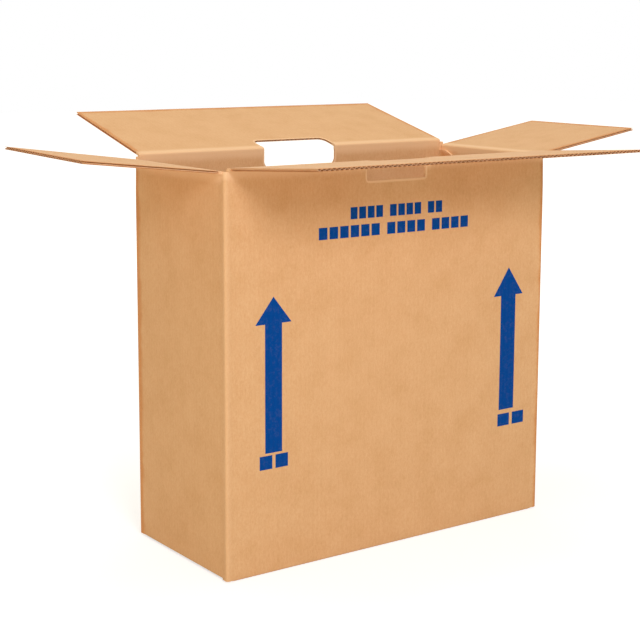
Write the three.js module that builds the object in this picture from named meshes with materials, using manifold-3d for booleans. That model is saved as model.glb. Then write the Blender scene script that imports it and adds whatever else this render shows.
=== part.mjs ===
// A tall overlap slotted carton of single-wall corrugated board, with its four top flaps open.
// Millimetres, +Z up. The origin is on the floor, under the middle of the box.
// The front wall faces -Y, the left wall -X.
import * as THREE from 'three';
import { mergeVertices } from 'three/addons/utils/BufferGeometryUtils.js';
import Module from 'manifold-3d';

const wasm = await Module();
wasm.setup();

// Outside size of the closed walls
const WIDTH = 596;
const DEPTH = 254;
const HEIGHT = 584;

// Corrugated board: two flat liners with a wavy medium between them
const BOARD = 4;
const LINER = 0.45;
const MEDIUM = 0.45;
const FLUTE_PITCH = 7.7;
const FLUTE_OPENING_DEPTH = 8;

// Folds of the board
const CORNER_RADIUS = 4.5;
const FOLD_RADIUS = 3.5;
const INNER_RADIUS = 1;
const LAYER_GAP = 0.4;

// Slots that part neighbouring flaps at each corner: the bottom flaps clear the walls' inner faces,
// the corner creases end just below the narrow creases, and the top flaps clear the corner creases
const SLOT_CLEARANCE = 1.5;
const SLOT_DROP = 1;
const TOP_FLAP_CLEARANCE = 0.4;

// Flaps, measured from their creases
const TOP_FLAP_LENGTH = 210;
const BOTTOM_FLAP_LENGTH = 210;

// Height of the rolled bottom fold of the two narrow walls above the floor
const NARROW_FOLD_HEIGHT = 2.5;

// Hinge creases: the axis stands just outside the wall, and both edges stay clear of it
const HINGE_STANDOFF = 0.3;
const FLAP_ROOT_GAP = 0.3;
const WALL_TOP_GAP = 0.45;

// How far each flap is lifted above level, in degrees
const FRONT_LIFT_ANGLE = 4;
const BACK_LIFT_ANGLE = 14.6;
const LEFT_LIFT_ANGLE = 6.5;
const RIGHT_LIFT_ANGLE = 9;

// Hand slots, cut across the creases of the two wide walls
const FRONT_SLOT_WIDTH = 115;
const BACK_SLOT_WIDTH = 138;
const SLOT_DEPTH_IN_WALL = 30;
const SLOT_DEPTH_IN_FLAP = 34;
const SLOT_CORNER_RADIUS = 12;

// Glued joint: the back wall's tab on the inside of the right wall
const TAB_WIDTH = 32;
const TAB_END_CUT = 12;
const TAB_CLEARANCE = 2;

// Solids overlap by this much where they are joined, and cutters overshoot by it
const OVERLAP = 1;
const CURVE_STEPS = 6;

// Heights that follow from the sizes above. Each layer of flaps lies on the one below it.
const LAYER = BOARD + LAYER_GAP;
const NARROW_CREASE = HEIGHT - LAYER;
const FRONT_CREASE = HEIGHT;
const BACK_CREASE = HEIGHT + LAYER;
const SLOT_INSET = BOARD + SLOT_CLEARANCE;
const CORNER_LEG = SLOT_INSET + OVERLAP;
const TOP_FLAP_INSET = CORNER_LEG + TOP_FLAP_CLEARANCE;
const COLUMN_TOP = NARROW_CREASE - SLOT_DROP;

// A wall's own frame has x along the wall, y outwards and z up, from the floor under its outer face
const WALLS = {
  front: {
    turn: Math.PI,
    reach: DEPTH / 2,
    span: WIDTH,
    fold: 0,
    flapLevel: 0,
    crease: FRONT_CREASE,
    lift: FRONT_LIFT_ANGLE,
    slot: FRONT_SLOT_WIDTH,
  },
  back: {
    turn: 0,
    reach: DEPTH / 2,
    span: WIDTH,
    fold: LAYER,
    flapLevel: LAYER,
    crease: BACK_CREASE,
    lift: BACK_LIFT_ANGLE,
    slot: BACK_SLOT_WIDTH,
  },
  left: {
    turn: Math.PI / 2,
    reach: WIDTH / 2,
    span: DEPTH,
    fold: NARROW_FOLD_HEIGHT,
    flapLevel: 2 * LAYER,
    crease: NARROW_CREASE,
    lift: LEFT_LIFT_ANGLE,
    slot: 0,
  },
  right: {
    turn: -Math.PI / 2,
    reach: WIDTH / 2,
    span: DEPTH,
    fold: NARROW_FOLD_HEIGHT,
    flapLevel: 2 * LAYER,
    crease: NARROW_CREASE,
    lift: RIGHT_LIFT_ANGLE,
    slot: 0,
  },
};

// Turns a closed geometry into a solid that can be joined and cut
function toSolid(geometry) {
  const bare = geometry.clone();
  bare.deleteAttribute('normal');
  bare.deleteAttribute('uv');
  const merged = mergeVertices(bare);
  const mesh = new wasm.Mesh({
    numProp: 3,
    vertProperties: new Float32Array(merged.attributes.position.array),
    triVerts: new Uint32Array(merged.index.array),
  });
  return new wasm.Manifold(mesh);
}

function toGeometry(solid) {
  const mesh = solid.getMesh();
  const geometry = new THREE.BufferGeometry();
  geometry.setAttribute('position', new THREE.BufferAttribute(new Float32Array(mesh.vertProperties), 3));
  geometry.setIndex(new THREE.BufferAttribute(new Uint32Array(mesh.triVerts), 1));
  geometry.computeVertexNormals();
  return geometry;
}

function extrude(outlines, depth) {
  return new THREE.ExtrudeGeometry(outlines, { depth, bevelEnabled: false, curveSegments: CURVE_STEPS });
}

// A section drawn in (y, z), drawn out along the wall and centred on it
function prismAlongWall(outline, width) {
  const geometry = extrude(outline, width);
  const toWall = new THREE.Matrix4().makeBasis(
    new THREE.Vector3(0, 1, 0),
    new THREE.Vector3(0, 0, 1),
    new THREE.Vector3(1, 0, 0),
  );
  geometry.applyMatrix4(toWall);
  geometry.translate(-width / 2, 0, 0);
  return geometry;
}

// An outline drawn in (x, z), going inwards from the distance y = from
function prismThroughWall(outlines, from, depth) {
  const geometry = extrude(outlines, depth);
  geometry.rotateX(Math.PI / 2);
  geometry.translate(0, from, 0);
  return geometry;
}

// Moves a geometry from a wall's own frame to the box's frame
function placeOnWall(geometry, wall) {
  geometry.translate(0, wall.reach, 0);
  geometry.rotateZ(wall.turn);
  return geometry;
}

// A rectangle with two rounded corners at its lower end, open upwards past its top
function slotOutline(width, low, top, radius) {
  const half = width / 2;
  const outline = new THREE.Shape();
  outline.moveTo(-half, top);
  outline.lineTo(-half, low + radius);
  outline.absarc(-half + radius, low + radius, radius, Math.PI, 1.5 * Math.PI, false);
  outline.lineTo(half - radius, low);
  outline.absarc(half - radius, low + radius, radius, 1.5 * Math.PI, 2 * Math.PI, false);
  outline.lineTo(half, top);
  outline.closePath();
  return outline;
}

// One panel of the folded sheet: the bottom flap, its rolled fold, the wall and the mitred top edge
function panelSection(wall) {
  const { fold, flapLevel, crease } = wall;
  const top = crease - WALL_TOP_GAP;
  const floorEnd = -BOTTOM_FLAP_LENGTH;
  const section = new THREE.Shape();
  section.moveTo(0, top);
  section.lineTo(-BOARD, top - BOARD);
  section.lineTo(-BOARD, flapLevel + BOARD + INNER_RADIUS);
  section.absarc(
    -BOARD - INNER_RADIUS,
    flapLevel + BOARD + INNER_RADIUS,
    INNER_RADIUS,
    0,
    -0.5 * Math.PI,
    true,
  );
  section.lineTo(floorEnd, flapLevel + BOARD);
  section.lineTo(floorEnd, flapLevel);
  if (flapLevel > fold) {
    section.lineTo(-BOARD, flapLevel);
    section.lineTo(-BOARD, fold);
  }
  section.lineTo(-FOLD_RADIUS, fold);
  section.absarc(-FOLD_RADIUS, fold + FOLD_RADIUS, FOLD_RADIUS, -0.5 * Math.PI, 0, false);
  section.closePath();
  return section;
}

function panel(wall) {
  const width = wall.span - 2 * SLOT_INSET;
  const sheet = toSolid(placeOnWall(prismAlongWall(panelSection(wall), width), wall));
  if (wall.slot === 0) {
    return sheet;
  }
  const low = wall.crease - SLOT_DEPTH_IN_WALL;
  const outline = slotOutline(wall.slot, low, wall.crease + OVERLAP, SLOT_CORNER_RADIUS);
  const cutter = prismThroughWall(outline, OVERLAP, BOARD + 2 * OVERLAP);
  return sheet.subtract(toSolid(placeOnWall(cutter, wall)));
}

// The upright crease at one corner, from the bottom slot to the top slot
function cornerColumn(cornerX, cornerY, turn) {
  const leg = CORNER_LEG;
  const inner = BOARD + INNER_RADIUS;
  const plan = new THREE.Shape();
  plan.moveTo(-leg, 0);
  plan.lineTo(-leg, -BOARD);
  plan.lineTo(-inner, -BOARD);
  plan.absarc(-inner, -inner, INNER_RADIUS, 0.5 * Math.PI, 0, true);
  plan.lineTo(-BOARD, -leg);
  plan.lineTo(0, -leg);
  plan.lineTo(0, -CORNER_RADIUS);
  plan.absarc(-CORNER_RADIUS, -CORNER_RADIUS, CORNER_RADIUS, 0, 0.5 * Math.PI, false);
  plan.closePath();
  const geometry = extrude(plan, COLUMN_TOP - NARROW_FOLD_HEIGHT);
  geometry.rotateZ(turn);
  geometry.translate(cornerX, cornerY, NARROW_FOLD_HEIGHT);
  return toSolid(geometry);
}

// The glued tab, with its ends cut at a slant so that they stay clear of the flaps
function glueTab() {
  const wall = WALLS.right;
  const start = -wall.span / 2 + BOARD;
  const end = start + TAB_WIDTH;
  const low = wall.flapLevel + BOARD + TAB_CLEARANCE;
  const top = wall.crease - BOARD - TAB_CLEARANCE;
  const outline = new THREE.Shape();
  outline.moveTo(start - OVERLAP, low);
  outline.lineTo(start, low);
  outline.lineTo(end, low + TAB_END_CUT);
  outline.lineTo(end, top - TAB_END_CUT);
  outline.lineTo(start, top);
  outline.lineTo(start - OVERLAP, top);
  outline.closePath();
  const geometry = prismThroughWall(outline, -BOARD + OVERLAP, BOARD + OVERLAP);
  return toSolid(placeOnWall(geometry, wall));
}

function cartonBody() {
  const corners = [
    cornerColumn(WIDTH / 2, DEPTH / 2, 0),
    cornerColumn(-WIDTH / 2, DEPTH / 2, 0.5 * Math.PI),
    cornerColumn(-WIDTH / 2, -DEPTH / 2, Math.PI),
    cornerColumn(WIDTH / 2, -DEPTH / 2, 1.5 * Math.PI),
  ];
  const panels = Object.values(WALLS).map(panel);
  const folded = [...corners, ...panels].reduce((sheet, piece) => sheet.add(piece));
  return toGeometry(folded.add(glueTab()));
}

// The open ends of the flutes between a liner and the medium, for side = 1 (upper) or -1 (lower)
function fluteOutlines(width, side) {
  const middle = BOARD / 2;
  const linerFace = middle - LINER;
  const swing = linerFace - MEDIUM / 2;
  const count = Math.floor((width - FLUTE_PITCH) / FLUTE_PITCH);
  const shift = side > 0 ? 0 : FLUTE_PITCH / 2;
  const places = [-0.42, -0.22, 0, 0.22, 0.42];
  const outlines = [];
  for (let i = 0; i < count; i += 1) {
    const centre = (i - count / 2 + 0.25) * FLUTE_PITCH + shift;
    const outline = new THREE.Shape();
    places.forEach((place, step) => {
      const atLiner = step === 0 || step === places.length - 1;
      const wave = -swing * Math.cos(2 * Math.PI * place) + MEDIUM / 2;
      const z = middle + side * (atLiner ? linerFace : wave);
      const x = centre + place * FLUTE_PITCH;
      if (step === 0) {
        outline.moveTo(x, z);
      } else {
        outline.lineTo(x, z);
      }
    });
    outline.closePath();
    outlines.push(outline);
  }
  return outlines;
}

// A top flap lying level, from its hinge axis outwards along +y, with its printed side down
function topFlap(wall) {
  const width = wall.span - 2 * TOP_FLAP_INSET;
  const section = new THREE.Shape();
  section.moveTo(FLAP_ROOT_GAP, 0);
  section.lineTo(TOP_FLAP_LENGTH, 0);
  section.lineTo(TOP_FLAP_LENGTH, BOARD);
  section.lineTo(FLAP_ROOT_GAP + BOARD, BOARD);
  section.closePath();
  let flap = toSolid(prismAlongWall(section, width));

  const flutes = [...fluteOutlines(width, 1), ...fluteOutlines(width, -1)];
  const from = TOP_FLAP_LENGTH + OVERLAP;
  flap = flap.subtract(toSolid(prismThroughWall(flutes, from, FLUTE_OPENING_DEPTH + OVERLAP)));

  if (wall.slot > 0) {
    const outline = slotOutline(wall.slot, -SLOT_DEPTH_IN_FLAP, OVERLAP, SLOT_CORNER_RADIUS);
    const cutter = extrude(outline, BOARD + 2 * OVERLAP);
    cutter.rotateZ(Math.PI);
    cutter.translate(0, 0, -OVERLAP);
    flap = flap.subtract(toSolid(cutter));
  }
  return toGeometry(flap);
}

function kraft(color) {
  return new THREE.MeshStandardMaterial({ color, roughness: 0.9, metalness: 0 });
}

// Hangs a flap on its crease, lifted above level
function hungFlap(name, wall, color) {
  const mesh = new THREE.Mesh(topFlap(wall), kraft(color));
  mesh.name = name;
  mesh.rotation.x = THREE.MathUtils.degToRad(wall.lift);
  const hinge = new THREE.Group();
  hinge.position.set(0, wall.reach + HINGE_STANDOFF, wall.crease);
  hinge.add(mesh);
  const side = new THREE.Group();
  side.rotation.z = wall.turn;
  side.add(hinge);
  return side;
}

const carton = new THREE.Group();
const body = new THREE.Mesh(cartonBody(), kraft(0xd9a373));
body.name = 'carton_body';
carton.add(body);
carton.add(hungFlap('front_flap', WALLS.front, 0xe3b285));
carton.add(hungFlap('back_flap', WALLS.back, 0xe0ad80));
carton.add(hungFlap('left_flap', WALLS.left, 0xdba778));
carton.add(hungFlap('right_flap', WALLS.right, 0xdba778));

export default carton;
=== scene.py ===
"""An open overlap carton of single-wall kraft board: folded body, four creased top flaps, blue print."""

import math

import bmesh
import bpy
from mathutils import Matrix, Quaternion, Vector


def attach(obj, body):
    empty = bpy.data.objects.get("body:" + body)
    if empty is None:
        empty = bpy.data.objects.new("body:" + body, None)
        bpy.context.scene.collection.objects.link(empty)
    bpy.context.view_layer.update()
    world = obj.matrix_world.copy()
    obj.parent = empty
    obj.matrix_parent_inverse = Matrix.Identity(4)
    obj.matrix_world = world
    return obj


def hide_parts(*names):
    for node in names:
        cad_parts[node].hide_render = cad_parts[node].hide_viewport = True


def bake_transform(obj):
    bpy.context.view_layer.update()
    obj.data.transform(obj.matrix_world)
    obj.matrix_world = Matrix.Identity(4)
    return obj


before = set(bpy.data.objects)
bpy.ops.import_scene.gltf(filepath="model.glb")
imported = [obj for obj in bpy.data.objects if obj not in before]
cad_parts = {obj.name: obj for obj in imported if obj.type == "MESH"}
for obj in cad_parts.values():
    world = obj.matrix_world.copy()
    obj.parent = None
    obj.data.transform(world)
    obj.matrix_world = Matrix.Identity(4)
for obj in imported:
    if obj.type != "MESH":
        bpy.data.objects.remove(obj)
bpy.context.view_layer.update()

# Camera, in metres and degrees
CAMERA_PLACE = (-1.347, -1.821, 0.764)
CAMERA_YAW = 35.50
CAMERA_PITCH = 8.66
CAMERA_ROLL = 0.18
CAMERA_LENS = 82.8
CAMERA_SHIFT_Y = -0.0914

# The folded carton, in metres
WIDTH = 0.596
DEPTH = 0.254
HEIGHT = 0.584
BOARD = 0.004
LINER = 0.00045
MEDIUM = 0.00045
PITCH = 0.0077
LAYER = 0.0044
CORNER_RADIUS = 0.005
FOLD_RADIUS = 0.0042
FLAP_LENGTH = 0.210
FLAP_INSET = 0.0056
CORNER_REACH = 0.0055
HINGE_STANDOFF = 0.0003
STRIP_REACH = 0.006
LOW_ROW = 0.020
BOTTOM_INSET = 0.012
FRONT_CORNER_FOOT = 0.0022
BACK_CORNER_FOOT = 0.0042
NARROW_FOOT = 0.0025
FRONT_CORNER_HEAD = 0.5828
BACK_CORNER_HEAD = 0.5872
TAB_WIDTH = 0.031
TAB_TOP_CUT = 0.007
TAB_FOOT_CUT = 0.010
SLOT_IN_FLAP = 0.034
SLOT_ARC_STEPS = 6
SLOT_RIM = 0.0045
RIM_CRUSH = 0.0007
FLUTE_DEPTH = 0.009
EDGE_RECESS = 0.0012
RIPPLE = 0.00012
WALL_BOW = 0.0014
WALL_WAVE = 0.0005
CORNER_GIVE = 0.0009
CORNER_SOFT_WIDTH = 0.016
PRINT_ROW = 0.02
INK_PROUD = 0.00007
INK_THICK = 0.00012

# Each wall's own frame has x along the wall, y outwards and z up. A wall is given by the turn of that frame, its
# distance and width, the height of its crease, and the lift of its top flap in degrees. Then come the hand slot's
# width, depth in the wall, and corner radii in the wall and in the flap. Last is the warp of the flap's outer
# edge: its mean, and its twist towards the frame's +x end.
WALLS = {
    "front": dict(
        turn=180, reach=DEPTH / 2, span=WIDTH, crease=0.5840, lift=4.0,
        slot=0.110, down=0.0265, radii=(0.004, 0.004), warp=(0.0, 0.0),
    ),
    "back": dict(
        turn=0, reach=DEPTH / 2, span=WIDTH, crease=0.5884, lift=14.6,
        slot=0.138, down=0.030, radii=(0.012, 0.012), warp=(-0.0002, 0.0002),
    ),
    "left": dict(
        turn=90, reach=WIDTH / 2, span=DEPTH, crease=0.5796, lift=6.5,
        slot=0.0, down=0.0, radii=None, warp=(0.0018, 0.0018),
    ),
    "right": dict(
        turn=-90, reach=WIDTH / 2, span=DEPTH, crease=0.5796, lift=9.0,
        slot=0.0, down=0.0, radii=None, warp=(0.0004, -0.0004),
    ),
}
SAME_PLACE = 1e-6
SAME_PLANE = 1e-5
HAIR = 0.0001

# Spacing of the mesh's columns
FLUTE_COLUMNS = 10
FLAP_COLUMN = 0.016
WALL_COLUMN = 0.024
STRIP_COLUMN = 0.012

# Paper: sizes of its pattern per metre, depths of its relief, and widths in metres of its bands of painted shade and
# painted highlight
CLOUD_SCALE = 22.0
FLECK_SCALE = 420.0
FIBRE_SCALE = 900.0
INK_PATCH_SCALE = 160.0
FLUTE_RELIEF = 0.00003
FLECK_RELIEF = 0.00012
FIBRE_RELIEF = 0.00006
RAGGED = 0.002
EDGE_SHADE_BAND = 0.009
FOLD_HIGHLIGHT_BAND = 0.014
CORNER_HIGHLIGHT_BAND = 0.011

# The layers of a mesh that the paper reads: place across the flutes, distances from the nearest side and end
# (painted shade), from the top crease and lit corner (painted highlight), and how far a point lies on a slot's rim
# (painted highlight)
MARKS = ("flute", "side_gap", "end_gap", "fold_gap", "highlight_corner_gap", "rim")

# Light
AMBIENT = 0.50
AMBIENT_TINT = (1.0, 0.96, 0.74, 1.0)
FLOOR_GLOW = 0.66
FAR_GLOW = 0.88
FLOOR_FOR_LAMPS = (0.85, 0.84, 0.82, 1)
FLOOR_AS_SEEN = (0.56, 0.58, 0.60, 1)


# Camera
def aim_camera():
    camera = bpy.data.objects.new("camera", bpy.data.cameras.new("camera"))
    bpy.context.scene.collection.objects.link(camera)
    camera.data.lens = CAMERA_LENS
    camera.data.sensor_width = 36
    camera.data.shift_y = CAMERA_SHIFT_Y
    yaw, pitch = math.radians(CAMERA_YAW), math.radians(CAMERA_PITCH)
    ahead = Vector((math.sin(yaw) * math.cos(pitch), math.cos(yaw) * math.cos(pitch), -math.sin(pitch)))
    camera.rotation_mode = "QUATERNION"
    roll = Quaternion((0, 0, 1), math.radians(CAMERA_ROLL))
    camera.rotation_quaternion = ahead.to_track_quat("-Z", "Y") @ roll
    camera.location = CAMERA_PLACE
    bpy.context.scene.camera = camera


# Finishes
def colour(red, green, blue):
    """A colour given as it looks on the screen, 0 to 255, for a shader's socket."""
    linear = [((c / 255 + 0.055) / 1.055) ** 2.4 if c > 10 else c / 255 / 12.92 for c in (red, green, blue)]
    return (*linear, 1.0)


def wire(tree, kind, inputs=None, **settings):
    """A new node, with its settings made and its sockets set or linked."""
    node = tree.nodes.new(kind)
    for name, value in settings.items():
        setattr(node, name, value)
    for name, value in (inputs or {}).items():
        if isinstance(value, bpy.types.NodeSocket):
            tree.links.new(value, node.inputs[name])
        else:
            node.inputs[name].default_value = value
    return node


def ramp(tree, factor, stops):
    node = tree.nodes.new("ShaderNodeValToRGB")
    tree.links.new(factor, node.inputs["Fac"])
    elements = node.color_ramp.elements
    while len(elements) < len(stops):
        elements.new(0.5)
    for element, (place, shade) in zip(elements, stops):
        element.position = place
        element.color = shade
    return node.outputs["Color"]


def blended(tree, kind, factor, first, second):
    node = tree.nodes.new("ShaderNodeMix")
    node.data_type = "RGBA"
    node.blend_type = kind
    for socket, value in ((node.inputs[0], factor), (node.inputs[6], first), (node.inputs[7], second)):
        if isinstance(value, bpy.types.NodeSocket):
            tree.links.new(value, socket)
        else:
            socket.default_value = value
    return node.outputs[2]


def greys(low, low_shade, high, high_shade):
    return [(low, (low_shade, low_shade, low_shade, 1)), (high, (high_shade, high_shade, high_shade, 1))]


def noise(tree, place, scale, detail, roughness=0.5):
    sockets = {"Vector": place, "Scale": scale, "Detail": detail, "Roughness": roughness}
    return wire(tree, "ShaderNodeTexNoise", sockets).outputs["Fac"]


def spread(tree, value, from_low, from_high, low, high, **settings):
    """A value carried from one range to another."""
    sockets = {"Value": value, "From Min": from_low, "From Max": from_high, "To Min": low, "To Max": high}
    return wire(tree, "ShaderNodeMapRange", sockets, **settings).outputs[0]


def maths(tree, operation, first, second=0.0):
    return wire(tree, "ShaderNodeMath", {0: first, 1: second}, operation=operation).outputs[0]


def mark(tree, name):
    return wire(tree, "ShaderNodeAttribute", attribute_name=name).outputs["Fac"]


def relief(tree, height, depth, strength, below=None):
    sockets = {"Height": height, "Distance": depth, "Strength": strength}
    if below is not None:
        sockets["Normal"] = below
    return wire(tree, "ShaderNodeBump", sockets).outputs[0]


def paper(name, light, middle, dark, washboard, edge_shade=0.0, painted_highlight=None, ink=None):
    """Kraft paper: clouds, flecks and fibres, faint stripes of the flutes below, painted shade along edges, painted
    highlight along creases, slot rims and the lit corner, and ink where it is printed.
    """
    material = bpy.data.materials.new(name)
    material.use_nodes = True
    tree = material.node_tree
    shader = tree.nodes["Principled BSDF"]
    place = tree.nodes.new("ShaderNodeTexCoord").outputs["Object"]

    clouds = noise(tree, place, CLOUD_SCALE, 5.0, 0.62)
    flecks = noise(tree, place, FLECK_SCALE, 3.0, 0.7)
    lengthways = {"Vector": place, "Scale": (1.0, 1.0, 0.18), "Rotation": (0.3, 0.2, 0.5)}
    stretched = wire(tree, "ShaderNodeMapping", lengthways)
    fibres = noise(tree, stretched.outputs[0], FIBRE_SCALE, 2.0)
    shade = ramp(tree, clouds, [(0.32, dark), (0.5, middle), (0.70, light)])
    shade = blended(tree, "SOFT_LIGHT", 0.22, shade, ramp(tree, flecks, greys(0.3, 0.2, 0.7, 0.8)))
    shade = blended(tree, "SOFT_LIGHT", 0.16, shade, ramp(tree, fibres, greys(0.35, 0.15, 0.6, 0.75)))

    wave = maths(tree, "COSINE", maths(tree, "MULTIPLY", mark(tree, "flute"), 2 * math.pi / PITCH))
    stripes = spread(tree, wave, -1.0, 1.0, 0.5 - washboard, 0.5 + washboard)
    shade = blended(tree, "SOFT_LIGHT", 0.5, shade, stripes)

    ragged = spread(tree, clouds, 0.3, 0.7, -RAGGED, RAGGED)

    def near(name, full, end, most):
        """How strongly a mark shows: most of it up to the distance full, none from the distance end."""
        uneven = maths(tree, "ADD", mark(tree, name), ragged)
        return spread(tree, uneven, full, end, most, 0.0, interpolation_type="SMOOTHSTEP")

    def larger(first, second):
        return maths(tree, "MAXIMUM", first, second)

    # Painted shade: darker near the sides and ends that the marks pick out, standing for edges that turn away from
    # the light
    if edge_shade > 0:
        shaded_edges = larger(*[near(side, 0.35 * EDGE_SHADE_BAND, EDGE_SHADE_BAND, edge_shade) for side in ("side_gap", "end_gap")])
        shade = blended(tree, "MULTIPLY", shaded_edges, shade, EDGE_SHADE_KRAFT)
    # Painted highlight: lighter along the top creases, round the hand slots and at the near upright corner, standing
    # for ridges that catch the light; along the creases it also stands partly for paper whitened by folding
    if painted_highlight is not None:
        rim_highlight = spread(tree, mark(tree, "rim"), 0.1, 0.6, 0.0, 1.0, interpolation_type="SMOOTHSTEP")
        fold_and_corner_highlight = larger(near("fold_gap", 0.0, FOLD_HIGHLIGHT_BAND, 0.9), near("highlight_corner_gap", 0.0, CORNER_HIGHLIGHT_BAND, 0.32))
        shade = blended(tree, "MIX", larger(rim_highlight, fold_and_corner_highlight), shade, painted_highlight)
    if ink is not None:
        patchy = noise(tree, place, INK_PATCH_SCALE, 4.0, 0.75)
        cover = spread(tree, patchy, 0.28, 0.50, 0.965, 1.0)
        inked = blended(tree, "SOFT_LIGHT", 0.35, ink, stripes)
        shade = blended(tree, "MIX", cover, shade, inked)
    tree.links.new(shade, shader.inputs["Base Color"])

    tree.links.new(spread(tree, flecks, 0.0, 1.0, 0.78, 0.95), shader.inputs["Roughness"])
    shader.inputs["Specular IOR Level"].default_value = 0.06 if ink else 0.25
    shader.inputs["Sheen Weight"].default_value = 0.02 if ink else 0.09
    shader.inputs["Sheen Roughness"].default_value = 0.45
    board_wave = relief(tree, wave, FLUTE_RELIEF, 0.6)
    grain = relief(tree, flecks, FLECK_RELIEF, 0.35, board_wave)
    tree.links.new(relief(tree, fibres, FIBRE_RELIEF, 0.3, grain), shader.inputs["Normal"])
    return material


LIGHT_KRAFT = colour(230, 181, 132)
MIDDLE_KRAFT = colour(227, 177, 128)
DARK_KRAFT = colour(223, 172, 122)
LIGHT_MEDIUM = colour(244, 201, 158)
MIDDLE_MEDIUM = colour(240, 195, 150)
DARK_MEDIUM = colour(230, 182, 136)
# Painted highlight colour for creases, slot rims and the lit corner
HIGHLIGHT_KRAFT = colour(246, 202, 158)
# Painted shade colour, multiplied in along edges
EDGE_SHADE_KRAFT = colour(241, 206, 168)
BLUE_INK = colour(0, 70, 150)


# Sheets of board
def rounded_slot(half, deep, radius):
    """The outline of a hand slot as points (x, distance from the crease), from one side round to the other."""
    points = [(-half, -BOARD)]
    for sign in (-1, 1):
        for step in range(SLOT_ARC_STEPS + 1):
            angle = 0.5 * math.pi * step / SLOT_ARC_STEPS
            angle = angle if sign < 0 else 0.5 * math.pi - angle
            x = half - radius + radius * math.cos(angle)
            y = deep - radius + radius * math.sin(angle)
            points.append((sign * x, y))
    return points + [(half, -BOARD)]


def from_slot(x, away, half, deep, radius):
    """How far a point lies outside a hand slot's outline. Inside it the distance is negative."""
    side, end = abs(x) - (half - radius), away - (deep - radius)
    return math.hypot(max(side, 0), max(end, 0)) + min(max(side, end), 0) - radius


def score_slot(sheet, half, deep, radius, to_flat, to_sheet, turn):
    """Cuts a flat part of a sheet along a slot's outline. to_flat gives a point's (x, distance from the crease)."""
    outline = rounded_slot(half, deep, radius)
    spare = 0.002
    for (ax, ay), (bx, by) in zip(outline, outline[1:]):
        near = []
        for face in sheet.faces:
            flat = [to_flat(v.co) for v in face.verts]
            if any(p is None for p in flat):
                continue
            if max(p[0] for p in flat) < -half - spare or min(p[0] for p in flat) > half + spare:
                continue
            if min(p[1] for p in flat) > deep + spare:
                continue
            near.append(face)
        edges = {e for f in near for e in f.edges}
        verts = {v for f in near for v in f.verts}
        geom = near + list(edges) + list(verts)
        normal = turn(Vector((by - ay, ax - bx, 0)).normalized())
        bmesh.ops.bisect_plane(sheet, geom=geom, dist=1e-7, plane_co=to_sheet(ax, ay), plane_no=normal)


def cut_slot(sheet, half, deep, radius, to_flat, to_sheet, turn, rim=0.0):
    """Cuts a hand slot out of a flat part of a sheet, with a line scored round it at the width of its rim."""
    if rim > 0:
        score_slot(sheet, half + rim, deep + rim, radius + rim, to_flat, to_sheet, turn)
    score_slot(sheet, half, deep, radius, to_flat, to_sheet, turn)
    gone = []
    for face in sheet.faces:
        flat = to_flat(face.calc_center_median())
        if flat is not None and from_slot(flat[0], flat[1], half, deep, radius) < 0:
            gone.append(face)
    bmesh.ops.delete(sheet, geom=gone, context="FACES")


def thickened(sheet, thickness, slot_index=0):
    """A mesh of the sheet with its thickness given on the side away from its normals."""
    for face in sheet.faces:
        face.material_index = slot_index
    mesh = bpy.data.meshes.new("layer")
    sheet.to_mesh(mesh)
    sheet.free()
    holder = bpy.data.objects.new("layer", mesh)
    bpy.context.scene.collection.objects.link(holder)
    solid = holder.modifiers.new("Thickness", "SOLIDIFY")
    solid.thickness = thickness
    solid.offset = -1
    solid.use_even_offset = True
    depsgraph = bpy.context.evaluated_depsgraph_get()
    finished = bpy.data.meshes.new_from_object(holder.evaluated_get(depsgraph))
    bpy.data.objects.remove(holder)
    bpy.data.meshes.remove(mesh)
    return finished


def pour(target, finished):
    """Adds a finished mesh to a bmesh."""
    target.from_mesh(finished)
    bpy.data.meshes.remove(finished)


def faced(sheet, wanted, where):
    """Turns a sheet's faces so that the one nearest to where looks along wanted."""
    bmesh.ops.recalc_face_normals(sheet, faces=sheet.faces[:])
    sample = min(sheet.faces, key=lambda f: (f.calc_center_median() - Vector(where)).length)
    if sample.normal.dot(Vector(wanted)) < 0:
        bmesh.ops.reverse_faces(sheet, faces=sheet.faces[:])


def piece_of(name, shape, materials, body=None, crisp=35):
    """Makes the piece from a bmesh and lets it ride on its body."""
    bmesh.ops.recalc_face_normals(shape, faces=shape.faces[:])
    mesh = bpy.data.meshes.new(name)
    shape.to_mesh(mesh)
    shape.free()
    for material in materials:
        mesh.materials.append(material)
    mesh.polygons.foreach_set("use_smooth", [True] * len(mesh.polygons))
    mesh.set_sharp_from_angle(angle=math.radians(crisp))
    piece = bpy.data.objects.new(name, mesh)
    bpy.context.scene.collection.objects.link(piece)
    if body is not None:
        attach(piece, body)
    return piece


def grid(width, low, high, columns, rows):
    """A flat sheet facing up, centred in x and reaching from low to high in y."""
    sheet = bmesh.new()
    bmesh.ops.create_grid(sheet, x_segments=columns, y_segments=rows, size=0.5)
    bmesh.ops.scale(sheet, vec=(width, high - low, 1), verts=sheet.verts)
    bmesh.ops.translate(sheet, vec=(0, (low + high) / 2, 0), verts=sheet.verts)
    return sheet


def wall_matrix(wall):
    """From the frame of a wall's crease (x along it, y outwards, z up) to the box's frame."""
    turn = Matrix.Rotation(math.radians(wall["turn"]), 4, "Z")
    return turn @ Matrix.Translation((0, wall["reach"] + HINGE_STANDOFF, wall["crease"]))


def on_rim(distance):
    """1 at a slot's edge, falling to 0 where its rim ends."""
    return min(1.0, max(0.0, 1 - distance / SLOT_RIM))


def smooth_step(value, low, high):
    part = min(1.0, max(0.0, (value - low) / (high - low)))
    return part * part * (3 - 2 * part)


# Top flaps
def gap_layers(shape):
    return [shape.verts.layers.float.new(n) for n in MARKS]


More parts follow.
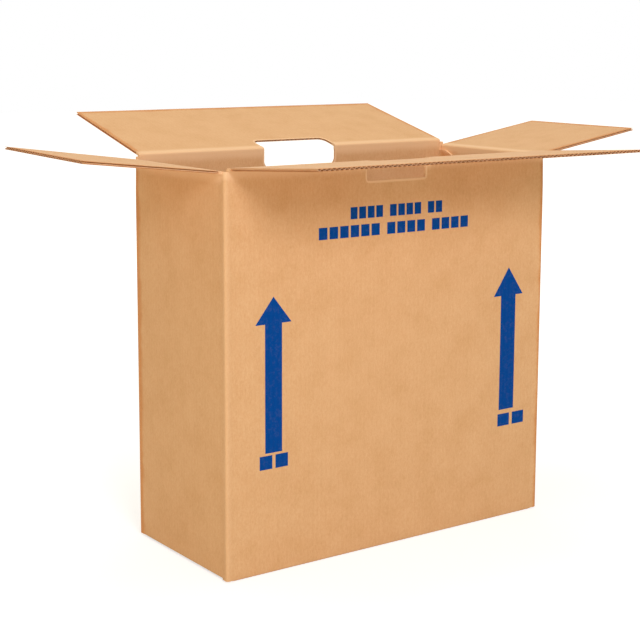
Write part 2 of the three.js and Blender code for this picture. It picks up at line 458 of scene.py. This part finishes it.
def warp_of(wall, x, away):
    """How far a point of a flap stands out of its flat plane."""
    part = max(0.0, (away - STRIP_REACH) / (FLAP_LENGTH - STRIP_REACH))
    side = x / (wall["span"] / 2 - FLAP_INSET)
    mean, twist = wall["warp"]
    ripple = RIPPLE * math.sin(31 * x + 2.0) * math.sin(17 * away)
    return part * (mean + twist * side + ripple)


def flap_board(name, wall):
    """A top flap from its crease to its outer edge: two liners and the wavy medium between them."""
    width = wall["span"] - 2 * FLAP_INSET
    swing = BOARD / 2 - LINER - MEDIUM / 2
    half_slot = wall["slot"] / 2
    columns = max(12, round(width / FLAP_COLUMN))
    whole = bmesh.new()
    layers = (
        (BOARD, LINER, 0, columns, 14),
        (LINER, LINER, 0, columns, 14),
        (BOARD / 2 + MEDIUM / 2, MEDIUM, 1, round(width / PITCH * FLUTE_COLUMNS), 8),
    )
    for top, thick, index, across, rows in layers:
        back_off = 0.0004 if index else 0.0
        sheet = grid(width - 2 * back_off, STRIP_REACH, FLAP_LENGTH - back_off, across, rows)
        if half_slot > 0:
            cut_slot(
                sheet,
                half_slot + back_off,
                SLOT_IN_FLAP + back_off,
                wall["radii"][1] + back_off,
                lambda p: (p.x, p.y),
                lambda x, y: Vector((x, y, 0)),
                lambda n: n,
                0.0 if index else SLOT_RIM,
            )
        bmesh.ops.translate(sheet, vec=(0, 0, top), verts=sheet.verts)
        faced(sheet, (0, 0, 1), (0, FLAP_LENGTH, top))
        layer = bmesh.new()
        pour(layer, thickened(sheet, thick, index))
        if index:
            for v in layer.verts:
                v.co.z += swing * math.cos(2 * math.pi * v.co.x / PITCH)
        holder = bpy.data.meshes.new("layer")
        layer.to_mesh(holder)
        layer.free()
        pour(whole, holder)
    flute, side_gap, end_gap, fold_gap, highlight_corner_gap, rim = gap_layers(whole)
    for v in whole.verts:
        x, y, z = v.co
        v[flute] = x
        # The paper paints shade towards the flap's sides and outer edge, and highlight along its crease and round
        # its slot
        v[side_gap] = width / 2 - abs(x)
        v[end_gap] = 0.8 * (FLAP_LENGTH - y)
        v[fold_gap] = y
        v[highlight_corner_gap] = 1.0
        if half_slot > 0:
            v[rim] = on_rim(from_slot(x, y, half_slot, SLOT_IN_FLAP, wall["radii"][1]))
            v.co.z += RIM_CRUSH * 0.6 * v[rim] * (1 if z < BOARD / 2 else -1)
        v.co.z += warp_of(wall, x, y)
    place = wall_matrix(wall) @ Matrix.Rotation(math.radians(wall["lift"]), 4, "X")
    bmesh.ops.transform(whole, matrix=place, verts=whole.verts)
    piece = piece_of(name + "_flap_board", whole, [kraft_face, kraft_medium], name)
    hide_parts(name + "_flap")
    return piece


def crease_strip(name, part, wall, left, right):
    """The creased board between a wall and its flap, from x = left to x = right of the wall's frame."""
    lift = math.radians(wall["lift"])
    out, up = Vector((0, math.cos(lift), math.sin(lift))), Vector((0, -math.sin(lift), math.cos(lift)))
    face = -HINGE_STANDOFF
    heart = Vector((0, face, -HINGE_STANDOFF * math.tan(lift)))
    flush = BOARD + 0.0002
    inner = [Vector((0, face - BOARD, -STRIP_REACH)), Vector((0, face - BOARD, -flush))]
    turns = 9
    for step in range(turns + 1):
        angle = math.pi - (math.pi / 2 - lift) * step / turns
        inner.append(heart + BOARD * Vector((0, math.cos(angle), math.sin(angle))))
    inner += [out * flush + up * BOARD, out * STRIP_REACH + up * BOARD]
    outer = [out * STRIP_REACH, out * flush, Vector((0, 0, 0))]
    outer += [Vector((0, face, -flush)), Vector((0, face, -STRIP_REACH))]

    strip = bmesh.new()
    section = strip.faces.new([strip.verts.new(p) for p in inner + outer])
    bmesh.ops.translate(strip, vec=(left, 0, 0), verts=strip.verts)
    steps = max(2, round((right - left) / STRIP_COLUMN))
    ends = [section]
    for _ in range(steps):
        grown = bmesh.ops.extrude_face_region(strip, geom=ends, use_keep_orig=True)
        fresh = [g for g in grown["geom"] if isinstance(g, bmesh.types.BMVert)]
        bmesh.ops.translate(strip, vec=((right - left) / steps, 0, 0), verts=fresh)
        if ends[0] is not section:
            bmesh.ops.delete(strip, geom=ends, context="FACES_ONLY")
        ends = [g for g in grown["geom"] if isinstance(g, bmesh.types.BMFace)]
    flute, side_gap, end_gap, fold_gap, highlight_corner_gap, rim = gap_layers(strip)
    for v in strip.verts:
        v[flute] = v.co.x
        # The paper paints shade towards the strip's ends, and highlight along its fold and round the slot
        v[side_gap] = wall["span"] / 2 - FLAP_INSET - abs(v.co.x)
        v[end_gap] = FLAP_LENGTH
        v[fold_gap] = max(0.0, v.co.y, -v.co.z - BOARD)
        v[highlight_corner_gap] = 1.0
        v[rim] = on_rim(abs(v.co.x) - wall["slot"] / 2) if wall["slot"] else 0.0
    bmesh.ops.transform(strip, matrix=wall_matrix(wall), verts=strip.verts)
    piece = piece_of("%s_crease_%s" % (name, part) if part else name + "_crease", strip, [kraft_face])
    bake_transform(piece)
    return piece


# Body
def stepped(sheet, edges, shift, steps):
    """Draws edges out along shift, in equal steps."""
    for _ in range(steps):
        grown = bmesh.ops.extrude_edge_only(sheet, edges=edges)["geom"]
        fresh = [g for g in grown if isinstance(g, bmesh.types.BMVert)]
        bmesh.ops.translate(sheet, vec=Vector(shift) / steps, verts=fresh)
        edges = ends_of(grown)
    return edges


def rolled(sheet, edges, centre, axis, angle, steps):
    """Rolls edges round an axis, in equal steps."""
    verts = list({v for e in edges for v in e.verts})
    arc = dict(cent=centre, axis=axis, angle=math.radians(angle), steps=steps, use_duplicate=False)
    spun = bmesh.ops.spin(sheet, geom=verts + edges, **arc)
    return [g for g in spun["geom_last"] if isinstance(g, bmesh.types.BMEdge)]


def ends_of(grown):
    """The edges of a new extrusion that lie at its far end."""
    fresh = {g for g in grown if isinstance(g, bmesh.types.BMVert)}
    edges = [g for g in grown if isinstance(g, bmesh.types.BMEdge)]
    return [e for e in edges if e.verts[0] in fresh and e.verts[1] in fresh]


def body_sheet(inset):
    """The folded sheet at one depth inside the outer faces, from the right wall round to the glued tab."""
    half_w, half_d = WIDTH / 2, DEPTH / 2
    top = WALLS["left"]["crease"] - STRIP_REACH
    sheet = bmesh.new()
    column = []
    rows = 14
    below = sheet.verts.new((half_w - inset, half_d, LOW_ROW))
    for _ in range(rows):
        grown = bmesh.ops.extrude_vert_indiv(sheet, verts=[below])
        above = grown["verts"][0]
        above.co.z += (top - LOW_ROW) / rows
        column += grown["edges"]
        below = above

    def straight(edges, along, length, columns):
        """A wall, with columns at the flaps' ends and at the bottom slots, and near each corner."""
        stops = sorted({0.0, length, *columns, *[length - c for c in columns]})
        places = [stops[0]]
        for stop in stops[1:]:
            gap = stop - places[-1]
            count = max(1, round(gap / WALL_COLUMN))
            places += [places[-1] + gap * (i + 1) / count for i in range(count)]
        for a, b in zip(places, places[1:]):
            edges = stepped(sheet, edges, tuple(c * (b - a) for c in along), 1)
        return edges

    columns = [CORNER_REACH - CORNER_RADIUS, BOTTOM_INSET - CORNER_RADIUS, 0.012, 0.018]
    bend_x, bend_y = half_w - CORNER_RADIUS, half_d - CORNER_RADIUS
    edges = stepped(sheet, column, (0, -CORNER_RADIUS, 0), 1)
    for along, length, x, y in (
        ((0, -1, 0), DEPTH - 2 * CORNER_RADIUS, bend_x, -bend_y),
        ((-1, 0, 0), WIDTH - 2 * CORNER_RADIUS, -bend_x, -bend_y),
        ((0, 1, 0), DEPTH - 2 * CORNER_RADIUS, -bend_x, bend_y),
        ((1, 0, 0), WIDTH - 2 * CORNER_RADIUS - BOARD, bend_x - BOARD, bend_y),
    ):
        edges = straight(edges, along, length, columns)
        edges = rolled(sheet, edges, (x, y, 0), (0, 0, -1), 90, 6)

    tab = stepped(sheet, edges, (0, -TAB_WIDTH, 0), 2)
    for v in {v for e in tab for v in e.verts}:
        if v.co.z > top - 0.001:
            v.co.z -= TAB_TOP_CUT
        if v.co.z < LOW_ROW + 0.001:
            v.co.z += TAB_FOOT_CUT
    return sheet


def open_edges(sheet, level, test):
    """The outer edges of a sheet that lie at one level and pass a test on their middle."""
    found = []
    for e in sheet.edges:
        middle = (e.verts[0].co + e.verts[1].co) / 2
        at_level = all(abs(v.co.z - level) < SAME_PLACE for v in e.verts)
        if len(e.link_faces) == 1 and at_level and test(middle):
            found.append(e)
    return found


def add_ends(sheet, inset):
    """The tops of the walls and corners, the corners' feet, and the folded bottom flaps."""
    top = WALLS["left"]["crease"] - STRIP_REACH
    half_w, half_d = WIDTH / 2, DEPTH / 2
    over_x, over_y = half_w - CORNER_REACH, half_d - CORNER_REACH
    bend_x, bend_y = half_w - BOARD - CORNER_RADIUS - SAME_PLACE, half_d - CORNER_RADIUS - SAME_PLACE
    tab_x = half_w - BOARD + HAIR - inset

    def in_tab(p):
        return bend_x < p.x < tab_x and 0 < p.y < bend_y

    def corner(p, sign):
        return abs(p.x) > over_x + SAME_PLACE and p.y * sign > over_y + SAME_PLACE and not in_tab(p)

    def wide(p, sign, reach):
        """On the front or back wall, or in the fold from the back wall to the tab."""
        on_wall = abs(p.y * sign - (half_d - inset)) < SAME_PLANE
        in_fold = sign > 0 and bend_x < p.x < tab_x and p.y > bend_y
        return abs(p.x) < reach + SAME_PLACE and (on_wall or in_fold)

    def narrow(p, sign):
        return abs(p.y) < low_y + SAME_PLACE and abs(p.x * sign - (half_w - inset)) < SAME_PLANE

    for sign, head in ((-1, FRONT_CORNER_HEAD), (1, BACK_CORNER_HEAD)):
        stepped(sheet, open_edges(sheet, top, lambda p: corner(p, sign)), (0, 0, head - top), 1)
    for name, sign in (("front", -1), ("back", 1)):
        rise = WALLS[name]["crease"] - STRIP_REACH - top
        stepped(sheet, open_edges(sheet, top, lambda p: wide(p, sign, over_x)), (0, 0, rise), 1)

    low_x, low_y = half_w - BOTTOM_INSET, half_d - BOTTOM_INSET

    def foot(p, sign):
        return abs(p.x) > low_x + SAME_PLACE and p.y * sign > low_y + SAME_PLACE and not in_tab(p)

    for sign, level in ((-1, FRONT_CORNER_FOOT), (1, BACK_CORNER_FOOT)):
        stepped(sheet, open_edges(sheet, LOW_ROW, lambda p: foot(p, sign)), (0, 0, level - LOW_ROW), 1)
    for name, sign, level in (("front", -1, 0.0), ("back", 1, LAYER)):
        edges = open_edges(sheet, LOW_ROW, lambda p: wide(p, sign, low_x))
        edges = stepped(sheet, edges, (0, 0, level + FOLD_RADIUS - LOW_ROW), 1)
        centre = (0, sign * (half_d - FOLD_RADIUS), level + FOLD_RADIUS)
        edges = rolled(sheet, edges, centre, (-sign, 0, 0), 90, 5)
        stepped(sheet, edges, (0, -sign * (FLAP_LENGTH - FOLD_RADIUS), 0), 8)
    for name, sign in (("left", -1), ("right", 1)):
        level = NARROW_FOOT + FOLD_RADIUS
        edges = open_edges(sheet, LOW_ROW, lambda p: narrow(p, sign))
        edges = stepped(sheet, edges, (0, 0, level - LOW_ROW), 1)
        edges = rolled(sheet, edges, (sign * (half_w - FOLD_RADIUS), 0, level), (0, sign, 0), 150, 7)
        lowest = edges[0].verts[0].co.z
        rise = 2 * LAYER + inset - lowest
        edges = stepped(sheet, edges, (-sign * rise * math.tan(math.radians(30)), 0, rise), 1)
        reached = abs(edges[0].verts[0].co.x)
        stepped(sheet, edges, (-sign * (reached - (half_w - FLAP_LENGTH)), 0, 0), 8)


def outward_push(across, half, z):
    """How far a wall stands out of its flat plane: rounded off near its corners, slightly bowed between."""
    from_corner = max(0.0, half - abs(across))
    soft = max(0.0, 1 - from_corner / CORNER_SOFT_WIDTH)
    upper = 1 - smooth_step(z, 0.52, 0.572)
    hold = math.sin(math.pi * min(1.0, max(0.0, z / HEIGHT)))
    bow = WALL_BOW * hold * (1 - (across / half) ** 2)
    wave = WALL_WAVE * hold * math.sin(across * 21 + 0.7) * math.sin(z * 13 + 1.1)
    return bow + wave * (1 - (across / half) ** 2) - CORNER_GIVE * soft * soft * upper


def settle(shape):
    """Gives the walls' points their slight bow and their softened corners."""
    near = 0.008
    for v in shape.verts:
        x, y, z = v.co
        if z < 0.001 or (z < 0.0132 and abs(x) < WIDTH / 2 - near and abs(y) < DEPTH / 2 - near):
            continue
        if abs(y) > DEPTH / 2 - near:
            v.co.y += math.copysign(outward_push(x, WIDTH / 2, z), y)
        if abs(x) > WIDTH / 2 - near:
            v.co.x += math.copysign(outward_push(y, DEPTH / 2, z), x)


def mark_flutes(shape):
    """Stores how far each point lies across the flutes, and from the edges and folds of its wall or flap."""
    flute, side_gap, end_gap, fold_gap, highlight_corner_gap, rim = gap_layers(shape)
    for v in shape.verts:
        x, y, z = v.co
        on_bottom = z < 2 * LAYER - HAIR and abs(x) < WIDTH / 2 - 0.011
        on_wide = abs(y) > DEPTH / 2 - CORNER_REACH or on_bottom
        name = ("front" if y < 0 else "back") if on_wide else ("left" if x < 0 else "right")
        wall = WALLS[name]
        v[flute] = x if on_wide else y
        # Painted shade along the sides: on the front wall only towards its right edge and on the left wall only
        # towards its back edge, the edges that turn away from the light
        if name == "left":
            v[side_gap] = 0.5 * (DEPTH / 2 - y)
        elif name == "front":
            v[side_gap] = WIDTH / 2 - x
        else:
            v[side_gap] = WIDTH / 2 - abs(x) if on_wide else DEPTH / 2 - abs(y)
        # Painted shade on the inner face by the back-right corner, where the glued tab lies in shade: full edge
        # shade there
        if name == "right" and x < WIDTH / 2 - BOARD + HAIR and y > 0.08:
            v[side_gap] = 0.0
        # Darker towards the bottom edge, through the same mask
        v[end_gap] = z if z > 2 * LAYER + BOARD else 0.02
        # Painted highlight below the top crease, inside and out
        v[fold_gap] = max(0.0, wall["crease"] - BOARD - z)
        # Painted highlight at the near upright corner, on the left and front walls, which face the light
        v[highlight_corner_gap] = max(x + WIDTH / 2, y + DEPTH / 2) if name in ("left", "front") else 1.0
        # Painted highlight round the hand slot, where the rim is also pressed in
        if wall["slot"]:
            v[rim] = on_rim(from_slot(x, wall["crease"] - z, wall["slot"] / 2, wall["down"], wall["radii"][0]))
            if abs(y) > DEPTH / 2 - LINER * 1.5:
                v.co.y -= math.copysign(RIM_CRUSH * v[rim], y)


def carton_walls():
    """The body in three layers: outer liner, inner liner and the core between them, cut back at the slots."""
    whole = bmesh.new()
    layers = ((0.0, LINER, 0), (BOARD - LINER, LINER, 0), (LINER, BOARD - 2 * LINER, 1))
    for inset, thick, index in layers:
        sheet = body_sheet(inset)
        add_ends(sheet, inset)
        bmesh.ops.remove_doubles(sheet, verts=sheet.verts, dist=SAME_PLACE)
        for name, sign in (("front", -1), ("back", 1)):
            wall = WALLS[name]
            crease = wall["crease"]
            plane = sign * (DEPTH / 2 - inset)
            cut_slot(
                sheet,
                wall["slot"] / 2 + (EDGE_RECESS if index else 0),
                wall["down"] + (FLUTE_DEPTH if index else 0),
                wall["radii"][0],
                lambda p: (p.x, crease - p.z) if abs(p.y - plane) < SAME_PLANE else None,
                lambda x, away: Vector((x, plane, crease - away)),
                lambda n: Vector((n.x, 0, -n.y)),
                0.0 if index else SLOT_RIM,
            )
        faced(sheet, (0, -1, 0), (0, -DEPTH / 2 + inset, HEIGHT / 2))
        pour(whole, thickened(sheet, thick, index))
    settle(whole)
    mark_flutes(whole)
    piece = piece_of("carton_walls", whole, [kraft_face, kraft_medium], "carton")
    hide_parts("carton_body")
    return piece


def slot_flutes(name):
    """The open flutes along the bottom edge of a hand slot."""
    wall = WALLS[name]
    half = wall["slot"] / 2
    swing = BOARD / 2 - LINER - MEDIUM / 2
    radius = wall["radii"][0]
    span = 2 * half - 2 * radius * 0.3
    deep = wall["down"]
    sheet = grid(span, deep + 0.0006, deep + FLUTE_DEPTH + 0.001, round(span / PITCH * FLUTE_COLUMNS), 2)
    cut_slot(sheet, half, deep, radius, lambda p: (p.x, p.y), lambda x, y: Vector((x, y, 0)), lambda n: n)
    strip = bmesh.new()
    pour(strip, thickened(sheet, MEDIUM, 0))
    sign = -1 if name == "front" else 1
    for v in strip.verts:
        lift = swing * math.cos(2 * math.pi * v.co.x / PITCH) + v.co.z + MEDIUM / 2
        v.co = Vector((v.co.x, sign * (DEPTH / 2 - BOARD / 2 + lift), wall["crease"] - v.co.y))
    settle(strip)
    mark_flutes(strip)
    return piece_of(name + "_slot_flutes", strip, [kraft_medium], "carton")


# Print on the front wall
def printed(name, outlines):
    """Flat printed shapes on the front wall. An outline's points are (x, z) from the wall's middle and the floor."""
    sheet = bmesh.new()
    for outline in outlines:
        sheet.faces.new([sheet.verts.new((x, -DEPTH / 2, z)) for x, z in outline])
    low = min(v.co.z for v in sheet.verts)
    high = max(v.co.z for v in sheet.verts)
    level = low + PRINT_ROW
    while level < high - 0.001:
        geom = sheet.faces[:] + sheet.edges[:] + sheet.verts[:]
        bmesh.ops.bisect_plane(sheet, geom=geom, plane_co=(0, 0, level), plane_no=(0, 0, 1))
        level += PRINT_ROW
    faced(sheet, (0, -1, 0), (0, -DEPTH / 2, level))
    for v in sheet.verts:
        v.co.y -= INK_PROUD
    shape = bmesh.new()
    pour(shape, thickened(sheet, INK_THICK))
    settle(shape)
    mark_flutes(shape)
    return piece_of(name, shape, [blue_print], "carton")


def share_x(part):
    return (part - 0.5) * WIDTH


def arrow(middle, tip, base, head_half, shaft_half, foot):
    """An arrow pointing up, its places in shares of the wall and its half widths in metres."""
    x, tip, base, foot = share_x(middle), tip * HEIGHT, base * HEIGHT, foot * HEIGHT
    return [
        (x - shaft_half, foot),
        (x + shaft_half, foot),
        (x + shaft_half, base),
        (x + head_half, base),
        (x, tip),
        (x - head_half, base),
        (x - shaft_half, base),
    ]


def blocks(start, end, level, tall, groups, gap):
    """A row of plain upright blocks between two shares of the width, in groups with a gap between, in metres."""
    x, low = share_x(start), level * HEIGHT
    pitch = (share_x(end) - x - gap * (len(groups) - 1)) / sum(groups)
    outlines = []
    for group in groups:
        for _ in range(group):
            left, right = x + pitch * 0.10, x + pitch * 0.90
            outlines.append([(left, low), (right, low), (right, low + tall), (left, low + tall)])
            x += pitch
        x += gap
    return outlines


# Stage
def seen_rays(tree):
    """1 for the rays that show the ground itself: the camera's, and those in gloss and glass."""
    path = tree.nodes.new("ShaderNodeLightPath")
    seen = maths(tree, "MAXIMUM", path.outputs["Is Camera Ray"], path.outputs["Is Glossy Ray"])
    return maths(tree, "MAXIMUM", seen, path.outputs["Is Transmission Ray"])


def white_world():
    world = bpy.data.worlds.new("white room")
    bpy.context.scene.world = world
    world.use_nodes = True
    tree = world.node_tree
    tree.nodes.clear()
    seen = seen_rays(tree)
    plain = wire(tree, "ShaderNodeBackground", {"Color": (1, 1, 1, 1), "Strength": 1.0})
    ambient = wire(tree, "ShaderNodeBackground", {"Color": AMBIENT_TINT, "Strength": AMBIENT})
    mixed = wire(tree, "ShaderNodeMixShader", {0: seen, 1: ambient.outputs[0], 2: plain.outputs[0]})
    wire(tree, "ShaderNodeOutputWorld", {"Surface": mixed.outputs[0]})


def floor_sheet():
    sheet = bmesh.new()
    bmesh.ops.create_grid(sheet, x_segments=1, y_segments=1, size=12)
    mesh = bpy.data.meshes.new("floor")
    sheet.to_mesh(mesh)
    sheet.free()
    floor = bpy.data.objects.new("floor", mesh)
    bpy.context.scene.collection.objects.link(floor)
    material = bpy.data.materials.new("white floor")
    material.use_nodes = True
    tree = material.node_tree
    tree.nodes.clear()
    seen = seen_rays(tree)
    place = tree.nodes.new("ShaderNodeTexCoord").outputs["Object"]
    away = wire(tree, "ShaderNodeVectorMath", {0: place}, operation="LENGTH").outputs["Value"]
    glow = maths(tree, "MULTIPLY", seen, spread(tree, away, 0.5, 3.5, FLOOR_GLOW, FAR_GLOW))
    sheet_colour = blended(tree, "MIX", seen, FLOOR_FOR_LAMPS, FLOOR_AS_SEEN)
    matt = wire(tree, "ShaderNodeBsdfDiffuse", {"Color": sheet_colour})
    light = wire(tree, "ShaderNodeEmission", {"Color": (1, 1, 1, 1), "Strength": glow})
    both = wire(tree, "ShaderNodeAddShader", {0: matt.outputs[0], 1: light.outputs[0]})
    wire(tree, "ShaderNodeOutputMaterial", {"Surface": both.outputs[0]})
    mesh.materials.append(material)


def lamp(name, place, target, size, power, tint=(1.0, 1.0, 1.0)):
    data = bpy.data.lights.new(name, "AREA")
    data.color = tint
    data.shape = "DISK"
    data.size = size
    data.energy = power
    holder = bpy.data.objects.new(name, data)
    bpy.context.scene.collection.objects.link(holder)
    holder.location = place
    holder.rotation_mode = "QUATERNION"
    holder.rotation_quaternion = (Vector(target) - Vector(place)).to_track_quat("-Z", "Y")


aim_camera()
bpy.context.scene.view_settings.view_transform = "Standard"

liner_shades = (LIGHT_KRAFT, MIDDLE_KRAFT, DARK_KRAFT)
# The liner takes the painted edge shade and the painted highlight
kraft_face = paper("kraft liner", *liner_shades, 0.022, edge_shade=0.8, painted_highlight=HIGHLIGHT_KRAFT)
kraft_medium = paper("kraft medium", LIGHT_MEDIUM, MIDDLE_MEDIUM, DARK_MEDIUM, 0.02)
blue_print = paper("blue print", *liner_shades, 0.06, ink=BLUE_INK)

carton_walls()
for side, wall in WALLS.items():
    flap_board(side, wall)
    edge = wall["span"] / 2 - FLAP_INSET
    if wall["slot"]:
        crease_strip(side, "a", wall, -edge, -wall["slot"] / 2)
        crease_strip(side, "b", wall, wall["slot"] / 2, edge)
        slot_flutes(side)
    else:
        crease_strip(side, "", wall, -edge, edge)

# Places as shares of the front wall's width and height
LEFT_ARROW = dict(middle=0.1325, tip=0.692, base=0.626, head_half=0.0305, shaft_half=0.0143, foot=0.306)
RIGHT_ARROW = dict(middle=0.8805, tip=0.696, base=0.620, head_half=0.0308, shaft_half=0.0155, foot=0.304)
printed("left_arrow", [arrow(**LEFT_ARROW)])
printed("right_arrow", [arrow(**RIGHT_ARROW)])
printed("upper_row", blocks(0.355, 0.649, 0.863, 0.0175, (4, 4, 2), 0.010))
printed("lower_row", blocks(0.260, 0.737, 0.818, 0.0175, (6, 4, 4), 0.010))
printed("left_foot_mark", blocks(0.088, 0.178, 0.266, 0.0200, (2,), 0.0))
printed("right_foot_mark", blocks(0.846, 0.950, 0.258, 0.0200, (2,), 0.0))

white_world()
floor_sheet()
lamp("front window", (-1.25, -3.2, 2.0), (0, 0, 0.35), 1.1, 51, (0.97, 1.0, 1.14))
lamp("left fill", (-3.0, -1.5, 0.5), (0, 0, 0.3), 1.8, 15, (1.0, 0.70, 0.32))
lamp("ceiling", (-0.1, 0.2, 3.2), (0, 0, 0.5), 1.8, 23)
lamp("back fill", (2.4, 3.2, 1.3), (0, 0, 0.3), 2.4, 13)
